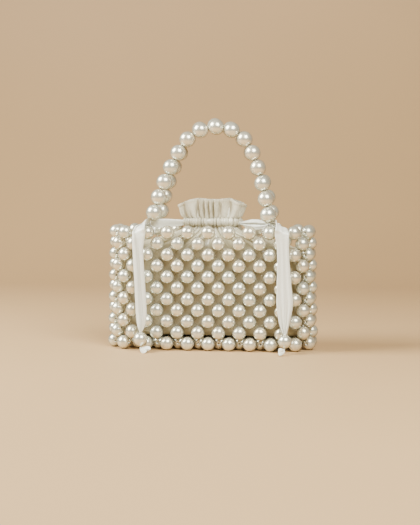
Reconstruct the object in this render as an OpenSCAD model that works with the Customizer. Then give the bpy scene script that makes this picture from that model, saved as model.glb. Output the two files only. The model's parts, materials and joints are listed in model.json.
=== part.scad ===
// Pearl cage evening bag with two strung handles and a satin drawstring pouch.
// The origin is on the standing surface under the middle of the cage. The front faces -Y.

/* [Cage] */
// Diameter of a cage pearl
pearl_d = 12; // [11.6:0.1:12.4]
// Distance from one level pearl to the next along the wall
pitch = 17.9; // [17.6:0.1:18.4]
// Distance from one row of level pearls to the next
rise = 19.2; // [18.8:0.1:19.8]
// Radius of the rounded ends, to the pearls' centres
end_r = 27; // [26.6:0.1:27.6]
// Extra length of the weave at each corner
corner_stretch = 3.4; // [2.8:0.1:4]
// How much wider the bottom row is than the top row, as a share
taper = 0.02; // [0:0.005:0.03]
// Diameter of the hole through a pearl
hole_d = 2; // [1.9:0.1:2.1]
// Diameter of the weaving line
line_d = 0.5; // [0.4:0.05:0.5]

/* [Handles] */
// Diameter of a handle pearl
handle_pearl_d = 13.9; // [13.4:0.1:14]
// Distance between handle pearls along the wire
handle_pitch = 14.1; // [14.05:0.05:14.3]
// Diameter of the hole through a handle pearl
handle_hole_d = 2.4; // [2.3:0.1:2.6]
// Diameter of the core wire
wire_d = 0.8; // [0.6:0.1:0.8]
// Height of the front handle's crown above its pivot, along the handle
front_crown_h = 93; // [93:0.1:93.6]
// Height of the rear handle's crown above its pivot, along the handle
rear_crown_h = 94.2; // [94:0.1:94.8]

/* [Pouch] */
// Thickness of the lined satin
cloth_t = 1; // [0.8:0.1:1.2]
// Radius of the pouch's rounded ends
pouch_r = 20; // [19:0.1:20.2]
// Height at which the pouch starts to narrow
shoulder_z = 88; // [84:1:92]
// Height of the bottom of the gathered neck
neck_z = 108; // [107:0.5:108.5]
// Half the width of the gathered neck
neck_half_w = 24.5; // [22:0.5:26]
// Half the depth of the gathered neck
neck_half_d = 11; // [10:0.5:11.5]
// Height of the top of the frill
frill_top_z = 131; // [126:1:134]

/* [Ribbons] */
// Width of a hanging ribbon
ribbon_w = 10.2; // [9:0.2:10.2]
// Thickness of a ribbon
ribbon_t = 0.8; // [0.6:0.1:0.8]
// Diameter of the pearl on the left ribbon
left_tail_pearl_d = 12.4; // [11:0.2:12.6]
// Diameter of the pearl on the right ribbon
right_tail_pearl_d = 11.6; // [11:0.2:12.6]
// Height of the left ribbon's pearl
left_pearl_z = 10.5; // [10.5:0.1:12]
// Height of the right ribbon's pearl
right_pearl_z = 10.5; // [10.5:0.1:12]

/* [Hidden] */
$fn = 48;

pearl_colour = [0.91, 0.89, 0.83];
satin_colour = [0.95, 0.94, 0.92];
lining_colour = [0.80, 0.75, 0.66];
line_colour = [0.85, 0.85, 0.85];
wire_colour = [0.75, 0.75, 0.76];

// Rows. Level pearls lie on rows 0 to 5, and upright pearls between them.
level_rows = 6;
pearl_r = pearl_d / 2;
half_pitch = pitch / 2;
bottom_z = pearl_r;
rim_z = bottom_z + (level_rows - 1) * rise;
mid_z = (bottom_z + rim_z) / 2;
eps = 0.01;

// Columns are counted in half pitches from the middle of the front, up to 11 at the middle of an end.
end_column = 11;
last_front = 7;
stretch_after_left = 6;
stretch_after_right = 7;
quarter = end_column * half_pitch + corner_stretch;
straight_half = quarter - end_r * PI / 2;

// Level lines run outside the holes' axes, so they pass the upright lines and the handles' loops.
line_offset = 0.6;

function width_at(z) = 1 + taper * (mid_z - z) / (rim_z - bottom_z);
function run_to(i) =
  abs(i) * half_pitch + (abs(i) > (i < 0 ? stretch_after_left : stretch_after_right) ? corner_stretch : 0);
function bend_at(i) = max(0, (run_to(i) - straight_half) / end_r * 180 / PI);
function side_of(i) = i < 0 ? -1 : 1;
function wall_x(i) = side_of(i) * (min(run_to(i), straight_half) + end_r * sin(bend_at(i)));
function wall_y(i) = -end_r * cos(bend_at(i));

// A pearl with its hole along Z.
module drilled(d, hole) {
  difference() {
    sphere(d = d);
    cylinder(d = hole, h = d + 2, center = true);
  }
}

// Column i of the front half, or of the rear half where rear is 1, at height z.
module at_column(i, z, rear = 0) {
  turn = (rear == 1 ? -1 : 1) * side_of(i) * bend_at(i);
  y = (rear == 1 ? -1 : 1) * wall_y(i);
  translate([wall_x(i) * width_at(z), y * width_at(z), z]) rotate([0, 0, turn]) children();
}

module level_column(i, rear = 0) {
  for (row = [0 : level_rows - 1])
    at_column(i, bottom_z + row * rise, rear) rotate([0, 90, 0]) drilled(pearl_d, hole_d);
}

module upright_column(i, rear = 0) {
  for (row = [0 : level_rows - 2])
    at_column(i, bottom_z + (row + 0.5) * rise, rear) drilled(pearl_d, hole_d);
}

// Cage panels
module front_level_pearls() {
  color(pearl_colour) for (i = [-6 : 2 : 6]) level_column(i);
}

module front_upright_pearls() {
  color(pearl_colour) for (i = [-last_front : 2 : last_front]) upright_column(i);
}

module rear_level_pearls() {
  color(pearl_colour) for (i = [-6 : 2 : 6]) level_column(i, 1);
}

module rear_upright_pearls() {
  color(pearl_colour) for (i = [-last_front : 2 : last_front]) upright_column(i, 1);
}

module end_level_pearls(side) {
  color(pearl_colour) for (rear = [0, 1], i = [8, 10]) level_column(side * i, rear);
}

module end_upright_pearls(side) {
  color(pearl_colour) {
    for (rear = [0, 1]) upright_column(side * 9, rear);
    upright_column(side * end_column);
  }
}

// The base carries on the weave between the bottom rows of the front and the rear.
base_long_y = end_r / 3;
base_cross_y = 2 * end_r / 3;

module base_long_pearls() {
  color(pearl_colour) for (i = [-8 : 2 : 8], side = [-1, 1])
    translate([i * half_pitch, side * base_long_y, bottom_z]) rotate([0, 90, 0])
      drilled(pearl_d, hole_d);
}

module base_cross_pearls() {
  color(pearl_colour) for (i = [-7 : 2 : 7], side = [-1, 0, 1])
    translate([i * half_pitch, side * base_cross_y, bottom_z]) rotate([90, 0, 0])
      drilled(pearl_d, hole_d);
}

// Weaving lines. Where two stretches of a line or wire join, one is a little thinner and runs into the other.
join_run = 0.3;
join_thin = 0.97;

module level_ring(z) {
  r = end_r * width_at(z) + line_offset;
  half = straight_half * width_at(z);
  translate([0, 0, z]) {
    for (side = [-1, 1]) {
      translate([0, side * r, 0]) rotate([0, 90, 0])
        cylinder(d = line_d * join_thin, h = 2 * (half + join_run), center = true);
      translate([side * half, 0, 0]) rotate([0, 0, side * 90 - 180])
        rotate_extrude(angle = 180) translate([r, 0]) circle(d = line_d);
    }
  }
}

// The rim's line stops short on each side of the pearls that the handles' loops turn on.
foot_column_x = 3 * pitch * width_at(rim_z);
foot_gap_in = 11.5;
foot_gap_out = 17;

module level_weave_lines() {
  color(line_colour) {
    for (row = [0 : level_rows - 2]) level_ring(bottom_z + row * rise);
    difference() {
      level_ring(rim_z);
      for (side = [-1, 1]) translate([side * (foot_column_x + (foot_gap_out - foot_gap_in) / 2), 0, rim_z])
        cube([foot_gap_in + foot_gap_out, 4 * end_r, 2], center = true);
    }
  }
}

module upright_line(i, rear) {
  foot = width_at(bottom_z);
  head = width_at(rim_z);
  y = (rear == 1 ? -1 : 1) * wall_y(i);
  lean_x = atan(wall_x(i) * (head - foot) / (rim_z - bottom_z));
  lean_y = atan(y * (head - foot) / (rim_z - bottom_z));
  translate([wall_x(i) * foot, y * foot, bottom_z]) rotate([-lean_y, lean_x, 0])
    cylinder(d = line_d, h = rim_z - bottom_z);
}

module upright_weave_lines() {
  color(line_colour) {
    for (i = [-9 : 2 : 9], rear = [0, 1]) upright_line(i, rear);
    for (side = [-1, 1]) upright_line(side * end_column, 0);
  }
}

base_line_gap = 0.6;
base_long_half = 79;
base_cross_half = end_r;

module base_weave_lines() {
  color(line_colour) {
    for (side = [-1, 1])
      translate([0, side * base_long_y, bottom_z + base_line_gap / 2]) rotate([0, 90, 0])
        cylinder(d = line_d, h = 2 * base_long_half, center = true);
    for (i = [-7 : 2 : 7])
      translate([i * half_pitch, 0, bottom_z - base_line_gap / 2]) rotate([90, 0, 0])
        cylinder(d = line_d, h = 2 * base_cross_half, center = true);
  }
}

// Pouch
pouch_bottom_z = 2 * pearl_r + 0.8;
pouch_half = straight_half - 1;
neck_r = neck_half_d;
neck_half = neck_half_w - neck_r;
frill_half_w = 30;
frill_r = 12;
casing_h = 5;
casing_t = 1;
frill_z = neck_z + casing_h;

panel_gap = 0.1;

// A slab with two straight sides and two round ends.
module oval(half, r, h) {
  linear_extrude(h) {
    square([2 * half, 2 * r], center = true);
    for (side = [-1, 1]) translate([side * half, 0]) circle(r = r);
  }
}

// A funnel from one oval up to another.
module oval_funnel(low_half, low_r, low_z, high_half, high_r, high_z) {
  hull() {
    for (side = [-1, 1]) {
      translate([side * low_half, 0, low_z]) cylinder(r = low_r, h = eps, $fn = 32);
      translate([side * high_half, 0, high_z - eps]) cylinder(r = high_r, h = eps, $fn = 32);
    }
  }
}

module pouch_wall() {
  difference() {
    translate([0, 0, pouch_bottom_z]) oval(pouch_half, pouch_r, shoulder_z - panel_gap - pouch_bottom_z);
    translate([0, 0, pouch_bottom_z - 1]) oval(pouch_half, pouch_r - cloth_t, shoulder_z);
  }
}

module pouch_shoulder() {
  difference() {
    oval_funnel(pouch_half, pouch_r, shoulder_z, neck_half, neck_r, neck_z);
    oval_funnel(pouch_half, pouch_r - cloth_t, shoulder_z - eps, neck_half, neck_r - cloth_t, neck_z + eps);
  }
}

// Half of what it is given: side is -1 for the front and 1 for the rear.
module half_of(side) {
  color(satin_colour) intersection() {
    children();
    translate([-100, side > 0 ? 0.05 : -100.05, 0]) cube([200, 100, 200]);
  }
}

module pouch_bottom() {
  color(lining_colour) translate([0, 0, pouch_bottom_z])
    oval(pouch_half, pouch_r - cloth_t - 0.1, cloth_t);
}

module pouch_frill() {
  color(satin_colour) difference() {
    oval_funnel(neck_half, neck_r, frill_z, frill_half_w - frill_r, frill_r, frill_top_z);
    oval_funnel(neck_half, neck_r - cloth_t, frill_z - eps,
      frill_half_w - frill_r, frill_r - cloth_t, frill_top_z + eps);
  }
}

module drawstring_casing() {
  color(satin_colour) translate([0, 0, neck_z]) difference() {
    oval(neck_half, neck_r + casing_t / 2, casing_h);
    translate([0, 0, -1]) oval(neck_half, neck_r - casing_t / 2, casing_h + 2);
  }
}

// Ribbons. Each goes over the rim in an arc about the handle's pivot, between the handle's loop
// and its lowest pearl, so the handle can fall past it.
pivot_y = end_r * width_at(rim_z);
strap_r = 7.3;
strap_turn = 75;
strap_rear_y = -17;
left_strap_x = -59.7;
right_strap_x = 64;
run_start_y = -3;
run_h = 4;
run_z = 107.6;
run_overlap = 2;

// The run from the casing to the rim, and the strap that it becomes over the rim.
module drawstring(strap_x) {
  side = strap_x < 0 ? -1 : 1;
  start = [side * (neck_half_w + 1), run_start_y];
  finish = [strap_x - side * (ribbon_w / 2 - run_overlap), strap_rear_y - ribbon_t];
  along = finish - start;
  color(satin_colour) {
    translate([start[0], start[1], run_z]) rotate([0, 0, atan2(along[1], along[0])])
      translate([0, -ribbon_t / 2, 0]) cube([norm(along), ribbon_t, run_h]);
    translate([strap_x - ribbon_w / 2, -pivot_y, rim_z + strap_r])
      cube([ribbon_w, pivot_y + strap_rear_y, ribbon_t]);
    translate([strap_x, -pivot_y, rim_z]) rotate([0, 90, 0]) rotate([0, 0, 180])
      rotate_extrude(angle = strap_turn) translate([strap_r, -ribbon_w / 2]) square([ribbon_t, ribbon_w]);
  }
}

tail_top_z = 103;
tail_low_z = 42;
tail_lean = 2.9;
tail_tip_w = 4;
tail_y = -pivot_y - strap_r - ribbon_t / 2;
tip_gap = 0.2;

// Leans what hangs from the strap outwards, so that the pearl on its end lies clear of the cage.
module hanging() {
  translate([0, tail_y, tail_top_z]) rotate([-tail_lean, 0, 0])
    translate([0, -tail_y, -tail_top_z]) children();
}

// The hanging part: a flat ribbon with a slight slant, which narrows to the pearl on its end.
module ribbon_tail(top_x, low_x, low_w, tip_x, tip_z) {
  color(satin_colour) hanging() translate([0, tail_y + ribbon_t / 2, 0]) rotate([90, 0, 0])
    linear_extrude(ribbon_t) polygon([
      [top_x - ribbon_w / 2, tail_top_z],
      [low_x - low_w / 2, tail_low_z],
      [tip_x - tail_tip_w / 2, tip_z],
      [tip_x + tail_tip_w / 2, tip_z],
      [low_x + low_w / 2, tail_low_z],
      [top_x + ribbon_w / 2, tail_top_z]
    ]);
}

left_low_x = -56.2;
left_low_w = 10.6;
left_tip_x = -57;
left_tip_z = left_pearl_z + left_tail_pearl_d / 2 + tip_gap;
right_low_x = 65.3;
right_low_w = 15;
right_tip_x = 67.5;
right_tip_z = right_pearl_z + right_tail_pearl_d / 2 + tip_gap;

module tail_pearl(x, z, d) {
  color(pearl_colour) hanging() translate([x, tail_y, z]) drilled(d, hole_d);
}

knot_r = 1.9;
strand_d = 1.4;

// The ribbon's end: a strand down through the pearl, a knot under it, and a short flared tip.
module tail_knot(x, pearl_z, pearl_size, tip_z, turn) {
  knot_z = pearl_z - pearl_size / 2 - knot_r - 0.1;
  color(satin_colour) hanging() translate([x, tail_y, 0]) {
    translate([0, 0, knot_z]) sphere(r = knot_r);
    translate([0, 0, knot_z]) cylinder(d = strand_d, h = tip_z - knot_z);
    translate([0, 0, knot_z]) rotate([90, 0, turn]) translate([0, 0, knot_r - 0.4])
      cylinder(r1 = 0.7, r2 = 1.7, h = 4);
  }
}

// Handles. Each is drawn upright in the XZ plane over its pivot, and then leans to the middle.
front_crown_x = 4.4;
rear_crown_x = 1.4;
// Each arch: the crown's radius, and how far the wire turns from the crown's middle to its left and right.
front_arch = [34, 61, 67];
rear_arch = [32, 61, 64];
leg_r = 226;
half_count = 7;
handle_gap = 0.4;
loop_r = pearl_r + 0.6;
crimp_r = 1;
crimp_h = 1;

function crown_turn(side, a) = side < 0 ? a[1] : a[2];
function crown_run(side, a) = a[0] * crown_turn(side, a) * PI / 180;
// How far the wire has turned from level after a run s from the crown.
function turn_at(s, side, a) =
  s < crown_run(side, a) ? s / a[0] * 180 / PI
  : crown_turn(side, a) + (s - crown_run(side, a)) / leg_r * 180 / PI;
function crown_end(side, a) = [a[0] * sin(crown_turn(side, a)), a[0] * (1 - cos(crown_turn(side, a)))];
// Distance out and down from the crown after a run s.
function arch_out(s, side, a) =
  s < crown_run(side, a) ? a[0] * sin(turn_at(s, side, a))
  : crown_end(side, a)[0] + leg_r * (sin(turn_at(s, side, a)) - sin(crown_turn(side, a)));
function arch_down(s, side, a) =
  s < crown_run(side, a) ? a[0] * (1 - cos(turn_at(s, side, a)))
  : crown_end(side, a)[1] + leg_r * (cos(crown_turn(side, a)) - cos(turn_at(s, side, a)));
function lean_of(crown_h) = asin((pivot_y - handle_pearl_d / 2 - handle_gap) / crown_h);

// Leans a handle to the middle over its pivot. side is -1 for the front and 1 for the rear.
module on_pivot(side, crown_h) {
  translate([0, side * pivot_y, rim_z]) rotate([side * lean_of(crown_h), 0, 0]) children();
}

module arch_pearls(a, crown_x, crown_h) {
  color(pearl_colour) {
    translate([crown_x, 0, crown_h]) rotate([0, 90, 0]) drilled(handle_pearl_d, handle_hole_d);
    for (side = [-1, 1], n = [1 : half_count]) {
      s = n * handle_pitch;
      translate([crown_x + side * arch_out(s, side, a), 0, crown_h - arch_down(s, side, a)])
        rotate([0, side * (90 + turn_at(s, side, a)), 0]) drilled(handle_pearl_d, handle_hole_d);
    }
  }
}

// The arc over the top.
module crown_wire(a, crown_x, crown_h) {
  translate([crown_x, 0, crown_h - a[0]]) rotate([90, 0, 0]) rotate([0, 0, 90 - crown_turn(1, a)])
    rotate_extrude(angle = crown_turn(-1, a) + crown_turn(1, a)) translate([a[0], 0]) circle(d = wire_d);
}

// One leg's arc and its straight foot.
module leg_wire(side, a, crown_x, crown_h) {
  turn = crown_turn(side, a) - join_run / leg_r * 180 / PI;
  last = half_count * handle_pitch;
  last_turn = turn_at(last, side, a);
  // The leg curves about a centre on the line from the crown's end through the crown's centre.
  leg_centre = [
    crown_x - side * (leg_r - a[0]) * sin(crown_turn(side, a)),
    crown_h - a[0] - (leg_r - a[0]) * cos(crown_turn(side, a))
  ];
  foot = [crown_x + side * arch_out(last, side, a), crown_h - arch_down(last, side, a)];
  bead = [side * foot_column_x, 0];
  to_foot = foot - bead;
  translate([leg_centre[0], 0, leg_centre[1]]) rotate([90, 0, 0])
    rotate([0, 0, side > 0 ? 90 - last_turn : 90 + turn])
      rotate_extrude(angle = last_turn - turn) translate([leg_r, 0]) circle(d = wire_d * join_thin);
  translate([bead[0], 0, bead[1]]) rotate([0, atan2(to_foot[0], to_foot[1]), 0])
    translate([0, 0, loop_r])
      cylinder(d = wire_d * join_thin * join_thin, h = norm(to_foot) - loop_r + join_run);
}

// The loop over one rim pearl, with its ends joined through the pearl's hole.
module foot_loop(side) {
  translate([side * foot_column_x, 0, 0]) {
    rotate([90, 0, 0]) rotate_extrude(angle = 180) translate([loop_r, 0]) circle(d = wire_d);
    rotate([0, 90, 0]) cylinder(d = pivot_wire_d, h = 2 * loop_r, center = true);
  }
}

pivot_wire_d = 0.6;

module arch_wire(a, crown_x, crown_h) {
  color(wire_colour) {
    crown_wire(a, crown_x, crown_h);
    for (side = [-1, 1]) {
      leg_wire(side, a, crown_x, crown_h);
      foot_loop(side);
    }
  }
}

module arch_crimps(a, crown_x, crown_h) {
  color(wire_colour) for (side = [-1, 1]) {
    last = half_count * handle_pitch;
    foot = [crown_x + side * arch_out(last, side, a), crown_h - arch_down(last, side, a)];
    to_foot = foot - [side * foot_column_x, 0];
    translate([side * foot_column_x, 0, 0]) rotate([0, atan2(to_foot[0], to_foot[1]), 0])
      translate([0, 0, loop_r + wire_d / 2 + 0.1]) difference() {
        cylinder(r = crimp_r, h = crimp_h);
        translate([0, 0, -1]) cylinder(d = wire_d + 0.1, h = crimp_h + 2);
      }
  }
}

module left_ribbon_tail() { ribbon_tail(left_strap_x, left_low_x, left_low_w, left_tip_x, left_tip_z); }
module right_ribbon_tail() { ribbon_tail(right_strap_x, right_low_x, right_low_w, right_tip_x, right_tip_z); }
module left_tail_knot() { tail_knot(left_tip_x, left_pearl_z, left_tail_pearl_d, left_tip_z, 30); }
module right_tail_knot() { tail_knot(right_tip_x, right_pearl_z, right_tail_pearl_d, right_tip_z, -20); }

module front_handle_pearls() {
  on_pivot(-1, front_crown_h) arch_pearls(front_arch, front_crown_x, front_crown_h);
}

module rear_handle_pearls() {
  on_pivot(1, rear_crown_h) arch_pearls(rear_arch, rear_crown_x, rear_crown_h);
}

module front_handle_wire() {
  on_pivot(-1, front_crown_h) arch_wire(front_arch, front_crown_x, front_crown_h);
}

module rear_handle_wire() {
  on_pivot(1, rear_crown_h) arch_wire(rear_arch, rear_crown_x, rear_crown_h);
}

module front_handle_crimps() {
  on_pivot(-1, front_crown_h) arch_crimps(front_arch, front_crown_x, front_crown_h);
}

module rear_handle_crimps() {
  on_pivot(1, rear_crown_h) arch_crimps(rear_arch, rear_crown_x, rear_crown_h);
}

front_level_pearls();
front_upright_pearls();
rear_level_pearls();
rear_upright_pearls();
end_level_pearls(-1);  // left_end_level_pearls
end_upright_pearls(-1);  // left_end_upright_pearls
end_level_pearls(1);  // right_end_level_pearls
end_upright_pearls(1);  // right_end_upright_pearls
base_long_pearls();
base_cross_pearls();
level_weave_lines();
upright_weave_lines();
base_weave_lines();
half_of(-1) pouch_wall();  // pouch_front
half_of(1) pouch_wall();  // pouch_rear
half_of(-1) pouch_shoulder();  // pouch_front_shoulder
half_of(1) pouch_shoulder();  // pouch_rear_shoulder
pouch_bottom();
pouch_frill();
drawstring_casing();
drawstring(left_strap_x);  // left_drawstring
drawstring(right_strap_x);  // right_drawstring
left_ribbon_tail();
right_ribbon_tail();
tail_pearl(left_tip_x, left_pearl_z, left_tail_pearl_d);  // left_tail_pearl
tail_pearl(right_tip_x, right_pearl_z, right_tail_pearl_d);  // right_tail_pearl
left_tail_knot();
right_tail_knot();
front_handle_pearls();
rear_handle_pearls();
front_handle_wire();
rear_handle_wire();
front_handle_crimps();
rear_handle_crimps();
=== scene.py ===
import bpy
import bmesh
import json
import math
import numpy as np
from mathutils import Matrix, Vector

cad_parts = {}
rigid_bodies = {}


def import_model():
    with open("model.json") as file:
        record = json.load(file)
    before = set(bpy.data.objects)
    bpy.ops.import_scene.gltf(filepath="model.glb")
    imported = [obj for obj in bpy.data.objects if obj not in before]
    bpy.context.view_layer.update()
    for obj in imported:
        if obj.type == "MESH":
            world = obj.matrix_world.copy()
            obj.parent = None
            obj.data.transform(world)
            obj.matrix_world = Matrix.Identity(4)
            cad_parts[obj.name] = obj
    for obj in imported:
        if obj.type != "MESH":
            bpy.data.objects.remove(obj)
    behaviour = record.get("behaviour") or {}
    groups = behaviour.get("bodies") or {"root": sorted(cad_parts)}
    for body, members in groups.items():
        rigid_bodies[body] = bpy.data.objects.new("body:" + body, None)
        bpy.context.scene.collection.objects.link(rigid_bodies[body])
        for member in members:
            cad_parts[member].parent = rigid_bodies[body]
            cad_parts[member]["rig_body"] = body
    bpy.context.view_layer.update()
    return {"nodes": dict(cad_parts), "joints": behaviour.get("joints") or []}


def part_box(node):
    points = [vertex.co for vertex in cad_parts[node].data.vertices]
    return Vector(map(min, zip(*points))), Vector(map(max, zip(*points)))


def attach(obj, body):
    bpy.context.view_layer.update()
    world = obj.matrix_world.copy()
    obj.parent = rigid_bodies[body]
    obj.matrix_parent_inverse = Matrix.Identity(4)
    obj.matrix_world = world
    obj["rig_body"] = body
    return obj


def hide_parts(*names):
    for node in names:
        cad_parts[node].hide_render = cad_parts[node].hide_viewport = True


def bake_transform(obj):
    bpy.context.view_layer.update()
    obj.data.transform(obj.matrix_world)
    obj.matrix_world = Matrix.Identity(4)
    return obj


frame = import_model()

MM = 0.001


# ---------------------------------------------------------------- camera
# A long lens at table height, standing a little to the right of the bag's front
CAMERA_TURN = math.radians(8)
CAMERA_AWAY = 1.21
CAMERA_HEIGHT = 0.160
CAMERA_DIP = math.radians(4.04)
CAMERA_PAN = math.radians(0.1)
LENS_MM = 94.6

camera_data = bpy.data.cameras.new("camera")
camera_data.lens = LENS_MM
camera = bpy.data.objects.new("camera", camera_data)
camera.location = (
    CAMERA_AWAY * math.sin(CAMERA_TURN),
    -CAMERA_AWAY * math.cos(CAMERA_TURN),
    CAMERA_HEIGHT,
)
camera.rotation_euler = (math.radians(90) - CAMERA_DIP, 0, CAMERA_TURN + CAMERA_PAN)
bpy.context.scene.collection.objects.link(camera)
bpy.context.scene.camera = camera


# ---------------------------------------------------------------- materials
def linear(hex_colour):
    """An sRGB hex colour as linear RGBA."""
    channels = [int(hex_colour[i : i + 2], 16) / 255 for i in (1, 3, 5)]
    return tuple(c / 12.92 if c <= 0.04045 else ((c + 0.055) / 1.055) ** 2.4 for c in channels) + (1,)


def add(tree, kind, settings=None, inputs=None):
    """Adds a node, with its settings by name and its inputs by name or number, as values or links."""
    node = tree.nodes.new(kind)
    for name, value in (settings or {}).items():
        setattr(node, name, value)
    for name, value in (inputs or {}).items():
        if isinstance(value, bpy.types.NodeSocket):
            tree.links.new(value, node.inputs[name])
        else:
            node.inputs[name].default_value = value
    return node


def new_material(name, **shader_inputs):
    """A material with one Principled shader. Returns it, its tree and the shader."""
    material = bpy.data.materials.new(name)
    material.use_nodes = True
    tree = material.node_tree
    shader = tree.nodes["Principled BSDF"]
    for key, value in shader_inputs.items():
        shader.inputs[key.replace("_", " ")].default_value = value
    return material, tree, shader


def ramp(tree, factor, stops):
    """A colour ramp through (position, colour) stops."""
    node = add(tree, "ShaderNodeValToRGB", inputs={0: factor})
    band = node.color_ramp
    while len(band.elements) < len(stops):
        band.elements.new(0.5)
    for element, (position, colour) in zip(band.elements, stops):
        element.position = position
        element.color = colour
    return node


def pearl_material(name, base_hex, warm_hex, cool_hex):
    """Beads dipped in pearl essence. Its platelets mirror much as a metal does, over a milky body and under
    a thin clear lacquer, and the nacre turns a little warmer or greener from bead to bead. The bump is the
    faint unevenness that dipping leaves."""
    material, tree, shader = new_material(
        name, Metallic=0.72, Roughness=0.27, Coat_Weight=0.3, Coat_Roughness=0.12)
    place = add(tree, "ShaderNodeTexCoord")
    own = add(tree, "ShaderNodeAttribute", {"attribute_name": "bead_tone"})
    tone = ramp(tree, own.outputs["Fac"], [
        (0, linear(warm_hex)), (0.5, linear(base_hex)), (1, linear(cool_hex))])
    # Nacre clouds about 4 mm across
    cloud = add(tree, "ShaderNodeTexNoise", inputs={
        "Vector": place.outputs["Object"], "Scale": 240.0, "Detail": 3.0})
    depth = ramp(tree, cloud.outputs["Fac"], [(0.3, (0.93, 0.92, 0.9, 1)), (0.7, (1, 1, 1, 1))])
    mixed = add(tree, "ShaderNodeMix", {"data_type": "RGBA", "blend_type": "MULTIPLY"}, {
        0: 1.0, 6: tone.outputs["Color"], 7: depth.outputs["Color"]})
    tree.links.new(mixed.outputs[2], shader.inputs["Base Color"])
    # Towards its edge the nacre mirrors less, in the grey-gold of its underlayer
    shader.inputs["Specular Tint"].default_value = linear("#5E5644")
    # Dipping marks, about 1.5 mm apart and a few microns high
    marks = add(tree, "ShaderNodeTexNoise", inputs={
        "Vector": place.outputs["Object"], "Scale": 650.0, "Detail": 2.0})
    bump = add(tree, "ShaderNodeBump", inputs={
        "Height": marks.outputs["Fac"], "Strength": 0.04, "Distance": 0.0004})
    tree.links.new(bump.outputs["Normal"], shader.inputs["Normal"])
    return material


def satin_material(name, light_hex, shade_hex, thread_mm, sheen, painted_shade_hex=None):
    """Polyester satin: long floats of bright yarn give a streaked gloss. The real floats are about 0.15 mm
    wide, which is too fine to show, so they are drawn coarser. With a painted shade colour, the cloth is
    painted darker and warmer below BODY_TOP, as painted shade."""
    material, tree, shader = new_material(
        name, Sheen_Weight=sheen, Sheen_Roughness=0.3, IOR=1.5, Specular_IOR_Level=0.8)
    shader.inputs["Sheen Tint"].default_value = linear("#FFFDF8")
    uv = add(tree, "ShaderNodeUVMap", {"uv_map": "cloth"})
    per_metre = 1 / (thread_mm * MM)
    # Each float runs about six times its width along the cloth
    threads = add(tree, "ShaderNodeMapping", inputs={
        "Vector": uv.outputs["UV"], "Scale": (per_metre, per_metre * 0.16, 1)})
    floats = add(tree, "ShaderNodeTexNoise", inputs={
        "Vector": threads.outputs["Vector"], "Scale": 1.0, "Detail": 2.0})
    # Uneven takes of the white, about 17 mm by 40 mm
    wide = add(tree, "ShaderNodeMapping", inputs={"Vector": uv.outputs["UV"], "Scale": (60, 25, 1)})
    cloud = add(tree, "ShaderNodeTexNoise", inputs={
        "Vector": wide.outputs["Vector"], "Scale": 1.0, "Detail": 3.0})
    both = add(tree, "ShaderNodeMath", {"operation": "MULTIPLY_ADD"}, {
        0: floats.outputs["Fac"], 1: 0.35, 2: cloud.outputs["Fac"]})
    tint = ramp(tree, both.outputs["Value"], [(0.45, linear(shade_hex)), (0.85, linear(light_hex))])
    colour = tint.outputs["Color"]
    if painted_shade_hex:
        # Painted shade: below BODY_TOP the walls inside the pearl cage are painted a darker, warmer tone. It
        # stands in for the shade between the pearls and the warm light bounced up from below.
        height = add(tree, "ShaderNodeSeparateXYZ", inputs={0: uv.outputs["UV"]})
        body = add(tree, "ShaderNodeMapRange", {"interpolation_type": "SMOOTHSTEP"}, {
            "Value": height.outputs["Y"], "From Min": BODY_TOP - 0.012, "From Max": BODY_TOP})
        mixed = add(tree, "ShaderNodeMix", {"data_type": "RGBA"}, {
            0: body.outputs["Result"], 6: linear(painted_shade_hex), 7: colour})
        colour = mixed.outputs[2]
    tree.links.new(colour, shader.inputs["Base Color"])
    gloss = ramp(tree, floats.outputs["Fac"], [
        (0.3, (0.23, 0.23, 0.23, 1)), (0.7, (0.34, 0.34, 0.34, 1))])
    tree.links.new(gloss.outputs["Color"], shader.inputs["Roughness"])
    bump = add(tree, "ShaderNodeBump", inputs={
        "Height": floats.outputs["Fac"], "Strength": 0.16, "Distance": 0.00015})
    tree.links.new(bump.outputs["Normal"], shader.inputs["Normal"])
    return material


def monofilament_material():
    """Clear nylon line: colourless, smooth and slightly milky in a thin gauge."""
    material, tree, shader = new_material(
        "clear nylon line", Roughness=0.12, IOR=1.53, Transmission_Weight=0.8)
    place = add(tree, "ShaderNodeTexCoord")
    haze = add(tree, "ShaderNodeTexNoise", inputs={"Vector": place.outputs["Object"], "Scale": 400.0})
    tint = ramp(tree, haze.outputs["Fac"], [(0.35, linear("#C9C4B8")), (0.65, linear("#E6E2D8"))])
    tree.links.new(tint.outputs["Color"], shader.inputs["Base Color"])
    return material


def wire_material():
    """Stranded beading wire and its crimps: drawn steel with fine lay lines round it."""
    material, tree, shader = new_material("drawn steel beading wire", Metallic=1.0, Roughness=0.3)
    place = add(tree, "ShaderNodeTexCoord")
    # Strands about 0.2 mm wide
    lay = add(tree, "ShaderNodeTexWave", {"wave_type": "BANDS", "bands_direction": "DIAGONAL"}, {
        "Vector": place.outputs["Object"], "Scale": 800.0, "Distortion": 1.0})
    tint = ramp(tree, lay.outputs["Fac"], [(0, linear("#8E8B86")), (1, linear("#D9D6CF"))])
    tree.links.new(tint.outputs["Color"], shader.inputs["Base Color"])
    bump = add(tree, "ShaderNodeBump", inputs={
        "Height": lay.outputs["Fac"], "Strength": 0.3, "Distance": 0.0001})
    tree.links.new(bump.outputs["Normal"], shader.inputs["Normal"])
    return material


ivory_pearl = pearl_material("ivory pearl lacquer", "#ECEADB", "#EDE6D1", "#E6E8DB")
handle_pearl = pearl_material("ivory handle pearl lacquer", "#EDEBDD", "#EEE7D5", "#E7E9DD")
# Height at which the pouch's body turns into its neck, in metres. Below it the satin carries painted shade
BODY_TOP = 0.107
# The last colour is painted shade and warm bounce light for the walls inside the cage, not the cloth's own
# colour
pouch_satin = satin_material("white pouch satin", "#E2DDCB", "#B9B19A", 0.5, 0.15, "#B8AE92")
ribbon_satin = satin_material("white ribbon satin", "#EFEFE7", "#E9E8DE", 0.25, 0.2)
nylon_line = monofilament_material()
beading_wire = wire_material()


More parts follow.
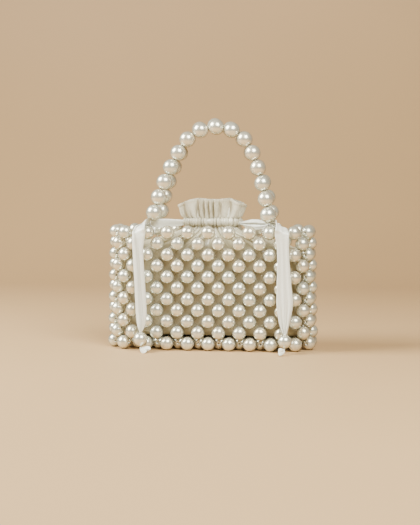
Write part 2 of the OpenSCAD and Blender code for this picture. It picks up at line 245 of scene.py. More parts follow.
# ---------------------------------------------------------------- reading the frame
def drilled_solids(node):
    """Each drilled pearl of a CAD node: its centre, its hole's direction and its radius. A pearl's only long
    edges run along its bore."""
    mesh = bmesh.new()
    mesh.from_mesh(frame["nodes"][node].data)
    bmesh.ops.remove_doubles(mesh, verts=mesh.verts, dist=1e-6)
    mesh.verts.ensure_lookup_table()
    seen = set()
    found = []
    for start in mesh.verts:
        if start.index in seen:
            continue
        island, waiting = [], [start]
        seen.add(start.index)
        while waiting:
            v = waiting.pop()
            island.append(v)
            for e in v.link_edges:
                w = e.other_vert(v)
                if w.index not in seen:
                    seen.add(w.index)
                    waiting.append(w)
        points = np.array([v.co for v in island])
        centre = (points.min(0) + points.max(0)) / 2
        radius = float(np.linalg.norm(points - centre, axis=1).max())
        # The first of the longest edges, so that every run takes the same one
        edge = max((e for v in island for e in v.link_edges), key=lambda e: e.calc_length())
        axis = edge.verts[1].co - edge.verts[0].co
        found.append((Vector(centre), axis.normalized(), radius))
    mesh.free()
    found.sort(key=lambda p: tuple(round(c, 5) for c in p[0]))
    return found


def link(obj):
    bpy.context.scene.collection.objects.link(obj)
    return obj


def mesh_object(name, points, faces, material, uv=None):
    """A smooth mesh piece. uv gives one pair for each point."""
    mesh = bpy.data.meshes.new(name)
    mesh.from_pydata([tuple(p) for p in points], [], faces)
    mesh.materials.append(material)
    for polygon in mesh.polygons:
        polygon.use_smooth = True
    if uv is not None:
        layer = mesh.uv_layers.new(name="cloth")
        for loop in mesh.loops:
            layer.data[loop.index].uv = uv[loop.vertex_index]
    return link(bpy.data.objects.new(name, mesh))


def settled(obj, name):
    """The evaluated object as a plain mesh piece with no modifiers."""
    evaluated = obj.evaluated_get(bpy.context.evaluated_depsgraph_get())
    mesh = bpy.data.meshes.new_from_object(evaluated)
    mesh.name = name
    bpy.data.objects.remove(obj)
    return link(bpy.data.objects.new(name, mesh))


# ---------------------------------------------------------------- pearls
def node_group(name, sockets):
    """An empty Geometry Nodes tree with a geometry input, the named inputs and a geometry output."""
    tree = bpy.data.node_groups.new(name, "GeometryNodeTree")
    tree.interface.new_socket("Geometry", in_out="INPUT", socket_type="NodeSocketGeometry")
    for label, kind in sockets:
        tree.interface.new_socket(label, in_out="INPUT", socket_type=kind)
    tree.interface.new_socket("Geometry", in_out="OUTPUT", socket_type="NodeSocketGeometry")
    return tree, add(tree, "NodeGroupInput"), add(tree, "NodeGroupOutput")


def with_nodes(obj, tree, values):
    """Puts a Geometry Nodes modifier on an object and sets its inputs by their identifiers."""
    modifier = obj.modifiers.new(tree.name, "NODES")
    modifier.node_group = tree
    identifiers = {s.name: s.identifier for s in tree.interface.items_tree if s.in_out == "INPUT"}
    for label, value in values.items():
        modifier[identifiers[label]] = value
    return obj


def pearl_tree():
    """Sets a drilled pearl on every point, turned so that its hole follows the point's own direction. The
    pearl is a tube of rings bent into a ball: its last ring runs back down the bore to close on the first."""
    tree, given, result = node_group("strung pearls", [
        ("Radius", "NodeSocketFloat"), ("Hole Radius", "NodeSocketFloat"), ("Sides", "NodeSocketInt"),
        ("Rings", "NodeSocketInt"), ("Seed", "NodeSocketInt"), ("Material", "NodeSocketMaterial")])
    radius, hole = given.outputs["Radius"], given.outputs["Hole Radius"]
    rings = given.outputs["Rings"]

    def maths(operation, *values):
        return add(tree, "ShaderNodeMath", {"operation": operation}, dict(enumerate(values))).outputs[0]

    segments = maths("ADD", rings, 1.0)
    tube = add(tree, "GeometryNodeMeshCylinder", {"fill_type": "NONE"}, {
        "Vertices": given.outputs["Sides"], "Side Segments": segments, "Radius": 1.0, "Depth": 1.0})
    place = add(tree, "GeometryNodeInputPosition")
    parts = add(tree, "ShaderNodeSeparateXYZ", inputs={0: place.outputs[0]})
    # 0 at the bore's lower mouth, 1 at its upper mouth, and past 1 for the ring that closes the bore
    along = maths("DIVIDE", maths("MULTIPLY", maths("ADD", parts.outputs["Z"], 0.5), segments), rings)
    mouth = maths("ARCSINE", maths("DIVIDE", hole, radius))
    sweep = maths("SUBTRACT", math.pi, maths("MULTIPLY", mouth, 2.0))
    closing = maths("GREATER_THAN", along, 1.01)
    kept = maths("MULTIPLY", along, maths("SUBTRACT", 1.0, closing))
    angle = maths("ADD", mouth, maths("MULTIPLY", kept, sweep))
    ring_radius = maths("MULTIPLY", radius, maths("SINE", angle))
    height = maths("MULTIPLY", radius, maths("COSINE", angle))
    bent = add(tree, "ShaderNodeCombineXYZ", inputs={
        0: maths("MULTIPLY", parts.outputs["X"], ring_radius),
        1: maths("MULTIPLY", parts.outputs["Y"], ring_radius), 2: height})
    ball = add(tree, "GeometryNodeSetPosition", inputs={
        "Geometry": tube.outputs["Mesh"], "Position": bent.outputs[0]})
    closed = add(tree, "GeometryNodeMergeByDistance", inputs={"Geometry": ball.outputs[0], "Distance": 1e-6})
    smooth = add(tree, "GeometryNodeSetShadeSmooth", inputs={"Geometry": closed.outputs[0]})
    # The tube's rings run upwards while the ball's run downwards, which turns its faces inwards
    faces = add(tree, "GeometryNodeFlipFaces", inputs={"Mesh": smooth.outputs[0]})
    direction = add(tree, "GeometryNodeInputNamedAttribute", {"data_type": "FLOAT_VECTOR"}, {"Name": "hole"})
    turn = add(tree, "FunctionNodeAlignRotationToVector", {"axis": "Z"}, {
        "Vector": direction.outputs["Attribute"]})
    strung = add(tree, "GeometryNodeInstanceOnPoints", inputs={
        "Points": given.outputs["Geometry"], "Instance": faces.outputs[0], "Rotation": turn.outputs[0]})
    chance = add(tree, "FunctionNodeRandomValue", {"data_type": "FLOAT"}, {"Seed": given.outputs["Seed"]})
    toned = add(tree, "GeometryNodeStoreNamedAttribute", {"data_type": "FLOAT", "domain": "INSTANCE"}, {
        "Geometry": strung.outputs[0], "Name": "bead_tone", "Value": chance.outputs[1]})
    real = add(tree, "GeometryNodeRealizeInstances", inputs={0: toned.outputs[0]})
    painted = add(tree, "GeometryNodeSetMaterial", inputs={
        "Geometry": real.outputs[0], "Material": given.outputs["Material"]})
    tree.links.new(painted.outputs[0], result.inputs[0])
    return tree


strung_pearls = pearl_tree()
PEARL_SIDES = 24
PEARL_RINGS = 13
BORE_RADIUS = 0.8 * MM
pearls_of = {}


def pearl_piece(node, material, seed):
    """Replaces a CAD node of drilled pearls with finely made ones in the same places."""
    pearls_of[node] = drilled_solids(node)
    mesh = bpy.data.meshes.new(node)
    mesh.from_pydata([p[0] for p in pearls_of[node]], [], [])
    hole = mesh.attributes.new("hole", "FLOAT_VECTOR", "POINT")
    hole.data.foreach_set("vector", [c for p in pearls_of[node] for c in p[1]])
    points = link(bpy.data.objects.new("points", mesh))
    radius = sum(p[2] for p in pearls_of[node]) / len(pearls_of[node])
    with_nodes(points, strung_pearls, {
        "Radius": radius, "Hole Radius": BORE_RADIUS, "Sides": PEARL_SIDES, "Rings": PEARL_RINGS,
        "Seed": seed, "Material": material})
    piece = settled(points, node + "_fine")
    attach(piece, frame["nodes"][node]["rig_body"])
    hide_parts(node)
    return piece


WALL_NODES = [
    "front_level_pearls", "front_upright_pearls", "rear_level_pearls", "rear_upright_pearls",
    "left_end_level_pearls", "left_end_upright_pearls", "right_end_level_pearls", "right_end_upright_pearls",
]
BASE_NODES = ["base_long_pearls", "base_cross_pearls"]
for number, node in enumerate(WALL_NODES + BASE_NODES + ["left_tail_pearl", "right_tail_pearl"]):
    pearl_piece(node, ivory_pearl, number)
for number, node in enumerate(["front_handle_pearls", "rear_handle_pearls"]):
    pearl_piece(node, handle_pearl, 40 + number)


# ---------------------------------------------------------------- weave
def line_tree():
    """Turns every edge into a round line with closed ends."""
    tree, given, result = node_group("round lines", [
        ("Radius", "NodeSocketFloat"), ("Sides", "NodeSocketInt"), ("Material", "NodeSocketMaterial")])
    curve = add(tree, "GeometryNodeMeshToCurve", inputs={"Mesh": given.outputs["Geometry"]})
    ring = add(tree, "GeometryNodeCurvePrimitiveCircle", {"mode": "RADIUS"}, {
        "Resolution": given.outputs["Sides"], "Radius": given.outputs["Radius"]})
    tube = add(tree, "GeometryNodeCurveToMesh", inputs={
        "Curve": curve.outputs[0], "Profile Curve": ring.outputs[0], "Fill Caps": True})
    smooth = add(tree, "GeometryNodeSetShadeSmooth", inputs={"Geometry": tube.outputs[0]})
    real = add(tree, "GeometryNodeRealizeInstances", inputs={0: smooth.outputs[0]})
    painted = add(tree, "GeometryNodeSetMaterial", inputs={
        "Geometry": real.outputs[0], "Material": given.outputs["Material"]})
    tree.links.new(painted.outputs[0], result.inputs[0])
    return tree


round_lines = line_tree()
LINE_RADIUS = 0.17 * MM
LINE_REACH = 7.5 * MM
MOUTH_DEPTH = 0.4 * MM


def weave_piece(name, first, second, old_node):
    """Lines from hole to hole: each hole of the first pearls is tied to the near holes of the second."""

    def mouths(nodes):
        pearls = [pearl for node in nodes for pearl in pearls_of[node]]
        return np.array([c + a * (side * (r - MOUTH_DEPTH)) for c, a, r in pearls for side in (-1, 1)])

    one, two = mouths(first), mouths(second)
    gaps = np.linalg.norm(one[:, None] - two[None], axis=2)
    pairs = np.argwhere(gaps < LINE_REACH)
    points = [p for i, j in pairs for p in (one[i], two[j])]
    mesh = bpy.data.meshes.new(name)
    mesh.from_pydata([tuple(p) for p in points], [(2 * k, 2 * k + 1) for k in range(len(pairs))], [])
    lines = link(bpy.data.objects.new("lines", mesh))
    with_nodes(lines, round_lines, {"Radius": LINE_RADIUS, "Sides": 8, "Material": nylon_line})
    piece = settled(lines, name)
    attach(piece, "cage")
    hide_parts(old_node)
    return piece


WALL_LEVEL = [n for n in WALL_NODES if "level" in n]
WALL_UPRIGHT = [n for n in WALL_NODES if "upright" in n]
weave_piece("wall_weave", WALL_LEVEL, WALL_UPRIGHT, "level_weave_lines")
weave_piece("base_weave", ["base_long_pearls"], ["base_cross_pearls"], "base_weave_lines")
weave_piece("base_edge_weave", WALL_LEVEL, ["base_cross_pearls"], "upright_weave_lines")


# ---------------------------------------------------------------- pouch
def ease(value, low, high):
    """Rises smoothly from 0 at low to 1 at high."""
    t = np.clip((value - low) / (high - low), 0, 1)
    return t * t * (3 - 2 * t)


def oval(fraction, half_w, half_d):
    """Points and outward normals of a stadium, from the middle of its back, anticlockwise seen from above.
    The front's middle is at 0.5."""
    straight = half_w - half_d
    turn = math.pi * half_d
    whole = 4 * straight + 2 * turn
    run = (fraction % 1.0) * whole
    x, y = np.zeros_like(run), np.zeros_like(run)
    nx, ny = np.zeros_like(run), np.zeros_like(run)
    first = run < straight
    x[first], y[first], ny[first] = -run[first], half_d, 1
    left = (run >= straight) & (run < straight + turn)
    a = math.pi / 2 + (run[left] - straight) / half_d
    nx[left], ny[left] = np.cos(a), np.sin(a)
    x[left], y[left] = -straight + half_d * np.cos(a), half_d * np.sin(a)
    front = (run >= straight + turn) & (run < 3 * straight + turn)
    x[front], y[front], ny[front] = run[front] - turn - 2 * straight, -half_d, -1
    right = (run >= 3 * straight + turn) & (run < 3 * straight + 2 * turn)
    a = -math.pi / 2 + (run[right] - 3 * straight - turn) / half_d
    nx[right], ny[right] = np.cos(a), np.sin(a)
    x[right], y[right] = straight + half_d * np.cos(a), half_d * np.sin(a)
    last = run >= 3 * straight + 2 * turn
    x[last], y[last], ny[last] = whole - run[last], half_d, 1
    return np.stack([x, y], 1), np.stack([nx, ny], 1)


def loop_faces(columns, rows):
    """Quads of a closed loop of columns, rows high, facing outward for an anticlockwise loop."""
    faces = []
    for low in range(0, (rows - 1) * columns, columns):
        high = low + columns
        for c in range(columns):
            after = (c + 1) % columns
            faces.append((low + c, low + after, high + after, high + c))
    return faces


def thickened(obj, name, thickness):
    """The sheet as a closed shell of that thickness."""
    solid = obj.modifiers.new("cloth thickness", "SOLIDIFY")
    solid.thickness = thickness
    solid.offset = 0
    solid.use_rim = True
    return settled(obj, name)


wall_low, wall_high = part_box("pouch_front")
band_low, band_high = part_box("drawstring_casing")
frill_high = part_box("pouch_frill")[1]
POUCH_HALF_W = wall_high.x / MM
POUCH_HALF_D = -wall_low.y / MM
POUCH_BOTTOM = wall_low.z / MM
NECK_Z = band_low.z / MM
BAND_TOP = band_high.z / MM
FRILL_TOP = frill_high.z / MM
BAND_HALF_W = band_high.x / MM
BAND_HALF_D = band_high.y / MM
FRILL_HALF_W = frill_high.x / MM
FRILL_HALF_D = frill_high.y / MM
# The flat cloth in metres: round the body, and from the bottom seam to the frill's edge
CLOTH_LOOP = 0.37
CLOTH_THICKNESS = 0.35 * MM
POUCH_COLUMNS = 448
# Heights between which the walls are drawn in to the neck, in mm
DRAW_FROM = 84
DRAW_TO = 107.5
# Half the drawn neck's width and depth inside the band, in mm
NECK_HALF_W = 21.5
NECK_HALF_D = 8.2
# Small pleats of the drawn neck, and the deeper folds of the frill, in mm
PLEATS = 32
PLEAT_DEPTH = 2.3
FOLD_DEPTH = 4.3
HEM_HEIGHT = 2.6
# How far the frill's outer lobes and its middle hang below its highest edge, in mm
LOBE_DROOP = 5.6
MIDDLE_DROOP = 0.9
RUCHES = 40
# Widths of the frill's folds across its front, left to right, as they fall in the cloth
FRONT_FOLDS = (19, 5, 4.5, 4, 4.5, 9, 15)
REAR_FOLDS = (13, 7, 9, 6, 8, 6, 12)
CORNER_FOLD = 5


def fold_phase(fraction):
    """How many folds of the frill lie before this point of the loop. They are uneven in width."""
    widths = REAR_FOLDS[3:] + (CORNER_FOLD,) + FRONT_FOLDS + (CORNER_FOLD,) + REAR_FOLDS[:3]
    edges = np.concatenate([[0], np.cumsum(widths)]) / sum(widths)
    # The front's folds start at the fifth edge
    front_middle = (edges[5] + edges[5 + len(FRONT_FOLDS)]) / 2
    return np.interp((fraction - 0.5 + front_middle) % 1.0, edges, np.arange(len(edges)))


def pouch_cloth():
    """The pouch's walls, neck and frill, as one cloth. It is wide in the cage, pleated into the band, and
    springs out above it in a few uneven folds that end in a turned hem."""
    s = np.arange(POUCH_COLUMNS) / POUCH_COLUMNS
    # Rows lie close together where the cloth is pleated or hemmed
    heights = np.concatenate([
        np.linspace(POUCH_BOTTOM, 80, 13), np.linspace(82, 106, 17), np.linspace(107, 114, 11),
        np.linspace(114.6, FRILL_TOP - 2.4, 17), np.linspace(FRILL_TOP - 2.2, FRILL_TOP, 6)])
    drift = 0.35 * np.sin(2 * math.pi * 3 * s + 1.0) + 0.25 * np.sin(2 * math.pi * 7 * s)
    deep = 0.75 + 0.25 * np.sin(2 * math.pi * 5 * s + 0.6)
    points, uv = [], []
    for z in heights:
        draw = ease(z, DRAW_FROM, DRAW_TO)
        flare = ease(z, BAND_TOP, FRILL_TOP)
        spring = ease(z, BAND_TOP - 1.5, BAND_TOP + 3)
        rise = max(0.0, (z - BAND_TOP) / (FRILL_TOP - BAND_TOP))
        half_w = POUCH_HALF_W - 0.6 + (NECK_HALF_W - POUCH_HALF_W) * draw
        half_w += 3.4 * spring + (FRILL_HALF_W - 26.0) * rise ** 0.8
        half_d = POUCH_HALF_D - 0.5 + (NECK_HALF_D - POUCH_HALF_D) * draw
        half_d += 1.2 * spring + (FRILL_HALF_D - 11.6) * rise
        base, normal = oval(s, half_w, half_d)
        tangent = np.stack([-normal[:, 1], normal[:, 0]], 1)
        pleat = 2 * math.pi * PLEATS * s + drift
        small = deep * (PLEAT_DEPTH * ease(z, 78, 103) * (1 - 0.75 * ease(z, BAND_TOP, FRILL_TOP - 4)))
        fold = 2 * math.pi * fold_phase(s)
        at_end = ease(np.abs(base[:, 0]), 0.72 * half_w, half_w)
        big = FOLD_DEPTH * ease(z, BAND_TOP - 2, FRILL_TOP - 6) * (1 - 0.65 * at_end)
        # The walls hang in slack waves below the pleats
        wide = 1.1 * ease(z, POUCH_BOTTOM, 40) * (1 - ease(z, DRAW_FROM, 100))
        hang = np.cos(2 * math.pi * 11 * s + 1.7 * np.sin(2 * math.pi * 2 * s) + 0.02 * z)
        hem = 0.5 * ease(z, FRILL_TOP - HEM_HEIGHT, FRILL_TOP - HEM_HEIGHT + 0.3)
        out = small * np.cos(pleat) - big * np.cos(fold) + wide * (hang - 1) * 0.5 + hem
        along = 0.5 * small * np.sin(pleat) - 0.275 * big * np.sin(2 * fold)
        plan = base + normal * out[:, None] + tangent * along[:, None]
        outer = np.abs(plan[:, 0]) / FRILL_HALF_W
        lobes = LOBE_DROOP * np.clip((outer - 0.45) / 0.55, 0, 1.2) ** 1.3
        level = z - flare * (lobes + MIDDLE_DROOP * (1 - ease(outer, 0.15, 0.45)))
        points.append(np.column_stack([plan, level]) * MM)
        uv.append(np.column_stack([s * CLOTH_LOOP, np.full_like(s, z * MM)]))
    obj = mesh_object(
        "cloth", np.vstack(points), loop_faces(POUCH_COLUMNS, len(heights)), pouch_satin, np.vstack(uv))
    piece = thickened(obj, "pouch_cloth", CLOTH_THICKNESS)
    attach(piece, "cage")
    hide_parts(*[n for n in frame["nodes"] if n.startswith("pouch_") and n != "pouch_bottom"])
    return piece


def casing_band():
    """The drawstring channel: a narrow band ruched up on its ribbon, over the gathered neck."""
    columns = 432
    s = np.arange(columns) / columns
    rows = np.linspace(0, 1, 11)
    shake = 2.2 * np.sin(2 * math.pi * 5 * s) + 1.5 * np.sin(2 * math.pi * 13 * s + 1)
    gather = 0.8 + 0.35 * np.sin(2 * math.pi * 9 * s + 2) + 0.25 * np.sin(2 * math.pi * 17 * s)
    points, uv = [], []
    for v in rows:
        swell = -1.3 + 1.9 * math.sin(math.pi * v) ** 0.6
        base, normal = oval(s, BAND_HALF_W, BAND_HALF_D)
        tangent = np.stack([-normal[:, 1], normal[:, 0]], 1)
        ruche = 2 * math.pi * RUCHES * s + shake + 0.8 * (v - 0.5) * np.sin(2 * math.pi * 9 * s)
        out = swell + gather * (0.75 + 0.35 * math.sin(math.pi * v)) * np.cos(ruche)
        plan = base + normal * out[:, None] + tangent * (0.25 * np.sin(ruche))[:, None]
        level = NECK_Z - 0.4 + (BAND_TOP - NECK_Z + 1.0) * v + 0.6 * gather * np.cos(ruche) * (2 * v - 1)
        points.append(np.column_stack([plan, level]) * MM)
        uv.append(np.column_stack([s * CLOTH_LOOP, np.full_like(s, (NECK_Z + 8 * v) * MM)]))
    obj = mesh_object("band", np.vstack(points), loop_faces(columns, len(rows)), pouch_satin, np.vstack(uv))
    piece = thickened(obj, "casing_band", 0.4 * MM)
    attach(piece, "cage")
    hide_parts("drawstring_casing")
    return piece


def bottom_cloth():
    """The pouch's bottom panel, sewn to the walls and sagging a little onto the base pearls."""
    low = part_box("pouch_bottom")[0]
    columns = 128
    s = np.arange(columns) / columns
    shrink = np.linspace(1, 0.04, 12)
    points, uv = [], []
    for k in shrink:
        base = oval(s, (POUCH_HALF_W - 0.6) - (1 - k) * POUCH_HALF_D, (POUCH_HALF_D - 0.5) * k)[0]
        sag = 0.5 * (1 - k) * np.cos(base[:, 0] * 0.35) - 0.3
        level = low.z / MM + 0.6 + sag * (1 - k)
        points.append(np.column_stack([base, level]) * MM)
        uv.append(base * MM)
    faces = loop_faces(columns, len(shrink))
    inner = (len(shrink) - 1) * columns
    faces += [tuple(inner + c for c in range(columns))]
    obj = mesh_object("bottom", np.vstack(points), faces, pouch_satin, np.vstack(uv))
    piece = thickened(obj, "pouch_bottom_cloth", CLOTH_THICKNESS)
    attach(piece, "cage")
    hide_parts("pouch_bottom")
    return piece


pouch_cloth()
casing_band()
bottom_cloth()


# ---------------------------------------------------------------- ribbons
def smooth_through(knots, steps):
    """A Catmull-Rom curve through the rows of knots, with that many steps for each span."""
    knots = np.array(knots, float)
    knots = np.vstack([2 * knots[0] - knots[1], knots, 2 * knots[-1] - knots[-2]])
    out = []
    for i in range(1, len(knots) - 2):
        p0, p1, p2, p3 = knots[i - 1 : i + 3]
        for t in np.linspace(0, 1, steps, endpoint=False):
            out.append(0.5 * (2 * p1 + (p2 - p0) * t + (2 * p0 - 5 * p1 + 4 * p2 - p3) * t**2
                              + (3 * p1 - p0 - 3 * p2 + p3) * t**3))
    out.append(knots[-2])
    return np.array(out)


def strip(name, stations, material, full_half, steps=8, across=33, thickness=0.3, crease=(1.0, 0.3)):
    """A ribbon along stations. Each holds a centre in mm, the direction across it, half the width that
    shows, and how deeply it is pleated. What is wider than that is turned under at both edges. crease gives
    the number of pleats across and their start. Returns the piece and its length in metres."""
    path = smooth_through([(*c, *w, h, d) for c, w, h, d in stations], steps)
    centre, side, half, depth = path[:, :3], path[:, 3:6], np.maximum(path[:, 6], 0.05), path[:, 7]
    along = np.gradient(centre, axis=0)
    along /= np.linalg.norm(along, axis=1)[:, None]
    side = side - along * (side * along).sum(1)[:, None]
    side /= np.linalg.norm(side, axis=1)[:, None]
    out = np.cross(along, side)
    t = np.linspace(-1, 1, across)
    count, start = crease
    length = np.concatenate([[0], np.cumsum(np.linalg.norm(np.diff(centre, axis=0), axis=1))])
    points, uv = [], []
    for c, w, n, h, d, run in zip(centre, side, out, half, depth, length):
        tuck = np.clip(full_half - h, 0, 0.85 * h)
        reach = np.abs(t) * (h + tuck)
        turned = np.clip(reach - h, 0, None)
        over = np.sign(t) * (np.minimum(reach, h) - turned)
        # The turned edge bends round to lie 0.9 mm behind the face
        under = 0.9 * (1 - np.exp(-turned / 0.6))
        lift = d * (np.cos(math.pi * count * over / h + start + 0.006 * run) - 0.3) - under
        points.append((c + w * over[:, None] + n * lift[:, None]) * MM)
        uv.append(np.column_stack([(t + 1) * full_half * MM, np.full_like(t, run * MM)]))
    n = len(path)
    faces = [(r * across + c, (r + 1) * across + c, (r + 1) * across + c + 1, r * across + c + 1)
             for r in range(n - 1) for c in range(across - 1)]
    obj = mesh_object("strip", np.vstack(points), faces, material, np.vstack(uv))
    return thickened(obj, name, thickness * MM), length[-1] * MM


RIBBON_WIDTH = 0.016
# The height from which the tails hang, in mm
RIM_Z = 102.0


def ribbon(side_name, sign, tail, run, folds):
    """One drawstring: out of the casing, over the rim beside the handle's foot, and down the front. It turns
    from level to hanging in one slanting fold, so its outer edge starts lower. run holds (centre, side, half
    width, pleat depth), and tail (x, z, half width, pleat depth, slant). The tail follows the lean of its
    hanging pearl."""
    swing = next(j for j in frame["joints"] if j["name"] == side_name + "_tail_swing")
    front_y = swing["pos_m"][1] / MM
    pearl_at = np.array(pearls_of[side_name + "_tail_pearl"][0][0]) / MM
    lean = (pearl_at[1] - front_y) / (RIM_Z - pearl_at[2])
    stations = list(run)
    stations += [((x, front_y + min(0.0, lean * (RIM_Z - z)), z), (sign, 0, -slant), half, deep)
                 for x, z, half, deep, slant in tail]
    piece, length = strip(
        side_name + "_ribbon", stations, ribbon_satin, RIBBON_WIDTH / 2 / MM, steps=9, crease=folds)
    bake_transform(piece)
    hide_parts(side_name + "_drawstring", side_name + "_ribbon_tail")
    return piece


ribbon(
    "left", -1,
    tail=[(-59.3, 99.5, 5.7, 0.1, 1.0), (-59.8, 93, 5.1, 0.15, 0.45), (-59.7, 86, 4.7, 0.1, 0.1),
          (-58.9, 72, 4.6, 0.1, 0), (-57.8, 56, 4.7, 0.1, 0), (-56.9, 42, 4.8, 0.2, 0),
          (-56.4, 31, 4.6, 0.5, 0), (-56.6, 22, 3.1, 1.0, 0), (-57.0, 16.6, 0.9, 0.4, 0)],
    run=[((-20, -5, 109.8), (0, 0, -1), 2.2, 0.6), ((-27, -6.5, 109.8), (0, 0, -1), 2.6, 0.5),
         ((-37, -10, 109.2), (0, 0, -1), 3.9, 0.5),
         ((-46, -15, 109.4), (-0.1, -0.1, -1), 4.0, 0.35),
         ((-54, -22, 110.0), (-0.5, -0.3, -0.6), 4.0, 0.15),
         ((-58.0, -29, 108.4), (-0.8, -0.45, -0.55), 5.0, 0.1),
         ((-59.2, -33.4, 104.2), (-0.85, -0.1, -0.9), 6.1, 0.1)],
    folds=(0.8, 1.2),
)
ribbon(
    "right", 1,
    tail=[(64.4, 99.5, 5.9, 0.1, 1.0), (65.0, 93, 5.3, 0.2, 0.5), (65.4, 86, 5.0, 0.3, 0.1),
          (65.9, 72, 5.5, 0.35, 0), (66.5, 56, 6.3, 0.4, 0), (67.1, 42, 6.9, 0.7, 0),
          (67.0, 28, 4.9, 1.2, 0), (67.3, 19.5, 2.4, 1.3, 0), (67.5, 16.2, 0.9, 0.5, 0)],
    run=[((20, -5, 110), (0, 0, -1), 1.8, 0.6), ((26.5, -6.5, 109.4), (0, 0, -1), 1.6, 0.4),
         ((36, -9.5, 108.6), (0, -0.1, -1), 4.5, 0.3), ((45, -13, 108.6), (0, -0.1, -1), 4.1, 0.3),
         ((53, -18, 109.6), (0.1, -0.2, -0.9), 2.2, 0.2), ((59.5, -24, 109.8), (0.6, -0.4, -0.5), 4.0, 0.15),
         ((62.9, -30, 108.0), (0.8, -0.45, -0.6), 4.9, 0.1),
         ((64.2, -33.5, 104.2), (0.85, -0.1, -0.95), 6.1, 0.1)],
    folds=(2.6, 0.2),
)


def tube(name, path, radius, material, sides=14):
    """A round soft cord along a path in mm. radius is one value or one for each point. Its ends close."""
    path = np.array(path, float)
    radius = np.broadcast_to(radius, len(path)).astype(float)
    along = np.gradient(path, axis=0)
    along /= np.linalg.norm(along, axis=1)[:, None]
    side = np.array(Vector(along[0]).orthogonal().normalized())
    points = []
    for p, a, r in zip(path, along, radius):
        side = side - a * side.dot(a)
        side /= np.linalg.norm(side)
        other = np.cross(a, side)
        for k in range(sides):
            b = 2 * math.pi * k / sides
            points.append((p + (side * math.cos(b) + other * math.sin(b)) * r) * MM)
    faces = loop_faces(sides, len(path))
    top = (len(path) - 1) * sides
    faces += [tuple(reversed(range(sides))), tuple(top + k for k in range(sides))]
    return mesh_object(name, points, faces, material, [(p[0], p[2]) for p in points])


def strand(side_name, pearl, knot):
    """The ribbon rolled tight, through its pearl and out below."""
    c = np.array(pearl[0]) / MM
    r = pearl[2] / MM
    knots = [(c[0], c[1], c[2] + r + 0.8), (c[0], c[1], c[2]), (c[0], c[1], c[2] - r + 0.4), knot]
    piece = tube(side_name + "_strand", smooth_through(knots, 7), 0.62, ribbon_satin)
    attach(piece, side_name + "_tail")
    return piece


def cut_end(name, body, stations):
    """A flat cut end of ribbon, in front of its pearl."""
    piece = strip(name, stations, ribbon_satin, 0, steps=6, across=11)[0]
    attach(piece, body)
    return piece


def right_end():
    """A round overhand knot in front of the pearl, and below it a short cut end."""
    pearl = pearls_of["right_tail_pearl"][0]
    at = np.array(pearl[0]) / MM
    knot_at = np.array([at[0] - 2.0, at[1] - 11.0, 3.5])
    strand("right", pearl, (knot_at[0] + 0.8, knot_at[1] + 3.4, 3.2))
    # An overhand knot pulled shut is a trefoil
    turns = np.linspace(0, 2 * math.pi, 97)[:-1]
    swing = 2 + np.cos(3 * turns)
    trefoil = np.column_stack([swing * np.cos(2 * turns), np.sin(3 * turns), swing * np.sin(2 * turns)])
    path = trefoil * np.array([0.68, 0.95, 0.68]) + knot_at
    knot = tube("right_knot", np.vstack([path, path[:2]]), 1.15, ribbon_satin, sides=12)
    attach(knot, "right_tail")
    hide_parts("right_tail_knot")
    across = (1, 0.25, 0)
    cut_end("right_cut_end", "right_tail", [
        (knot_at + (0, -1.5, -0.6), across, 1.6, 0.3), (knot_at + (-0.6, -3.2, -1.6), across, 1.7, 0.3),
        (knot_at + (-1.2, -4.8, -2.6), across, 0.2, 0.0)])


def left_end():
    """Two points of the notched ribbon, spread to the right in front of the pearl. Each has a reach to the
    side and to the front, the height of its tip, and the direction across it."""
    pearl = pearls_of["left_tail_pearl"][0]
    x, y = pearl[0][0] / MM, pearl[0][1] / MM
    strand("left", pearl, (x + 0.5, y - 2.6, 2.6))
    points = [(10.6, -10.0, 3.4, (0.5, 0, 0.8)), (7.0, -12.4, 1.1, (0.9, 0, 0.45))]
    for number, (side, front, tip_z, across) in enumerate(points):
        end = cut_end(f"left_cut_end_{number + 1}", "left_tail", [
            ((x + 0.5, y - 2.4, 2.9), across, 0.9, 0.3),
            ((x + 0.45 * side, y + 0.6 * front, 0.5 * (3.4 + tip_z)), across, 2.1, 0.6),
            ((x + 0.8 * side, y + 0.85 * front, tip_z + 0.4), across, 1.9, 0.5),
            ((x + side, y + front, tip_z), across, 0.2, 0.0)])
        if number == 0:
            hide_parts("left_tail_knot")


right_end()
left_end()


# ---------------------------------------------------------------- metal
for node in ("front_handle_wire", "rear_handle_wire", "front_handle_crimps", "rear_handle_crimps"):
    metal_part = frame["nodes"][node]
    metal_part.data.materials.clear()
    metal_part.data.materials.append(beading_wire)


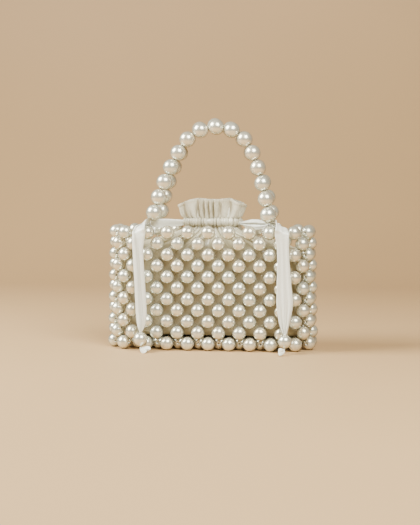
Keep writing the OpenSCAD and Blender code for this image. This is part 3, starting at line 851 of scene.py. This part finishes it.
# ---------------------------------------------------------------- stage
def plain_material(name, hex_colour, roughness):
    """Painted board with a barely uneven coat."""
    material, tree, shader = new_material(name, Roughness=roughness)
    place = add(tree, "ShaderNodeTexCoord")
    blotch = add(tree, "ShaderNodeTexNoise", inputs={"Vector": place.outputs["Object"], "Scale": 3.0})
    tint = ramp(tree, blotch.outputs["Fac"], [
        (0.3, tuple(0.96 * c for c in linear(hex_colour)[:3]) + (1,)), (0.7, linear(hex_colour))])
    tree.links.new(tint.outputs["Color"], shader.inputs["Base Color"])
    return material


# A floor that sweeps up into the wall behind, so no horizon shows
sweep_r, wall_y = 0.5, 1.1
profile = [(-2.5, 0.0), (wall_y - sweep_r, 0.0)]
profile += [(wall_y - sweep_r + sweep_r * math.sin(a), sweep_r - sweep_r * math.cos(a))
            for a in np.linspace(0, math.pi / 2, 17)[1:]]
profile += [(wall_y, 2.6)]
sweep_points = [(x, y, z) for y, z in profile for x in (-3.0, 3.0)]
sweep_faces = [(2 * k, 2 * k + 1, 2 * k + 3, 2 * k + 2) for k in range(len(profile) - 1)]
floor = mesh_object("floor", sweep_points, sweep_faces, plain_material("warm board", "#BD9A6F", 0.6))


def softbox(name, direction, distance, size, watts, hex_colour):
    """A square soft light that faces the bag from that direction."""
    data = bpy.data.lights.new(name, "AREA")
    data.shape = "SQUARE"
    data.size = size
    data.energy = watts
    data.color = linear(hex_colour)[:3]
    light = link(bpy.data.objects.new(name, data))
    aim = Vector((0, 0, 0.08))
    light.location = aim + Vector(direction).normalized() * distance
    light.rotation_euler = (aim - light.location).to_track_quat("-Z", "Y").to_euler()
    return light


softbox("key left", (-0.76, -0.26, 0.62), 1.15, 0.6, 38.0, "#FCFFF6")
softbox("key right", (0.38, -0.64, 0.66), 1.15, 0.6, 26.0, "#FCFEF4")

world = bpy.data.worlds.new("warm room")
world.use_nodes = True
world.node_tree.nodes["Background"].inputs["Color"].default_value = linear("#9C8A6A")
world.node_tree.nodes["Background"].inputs["Strength"].default_value = 0.5
bpy.context.scene.world = world
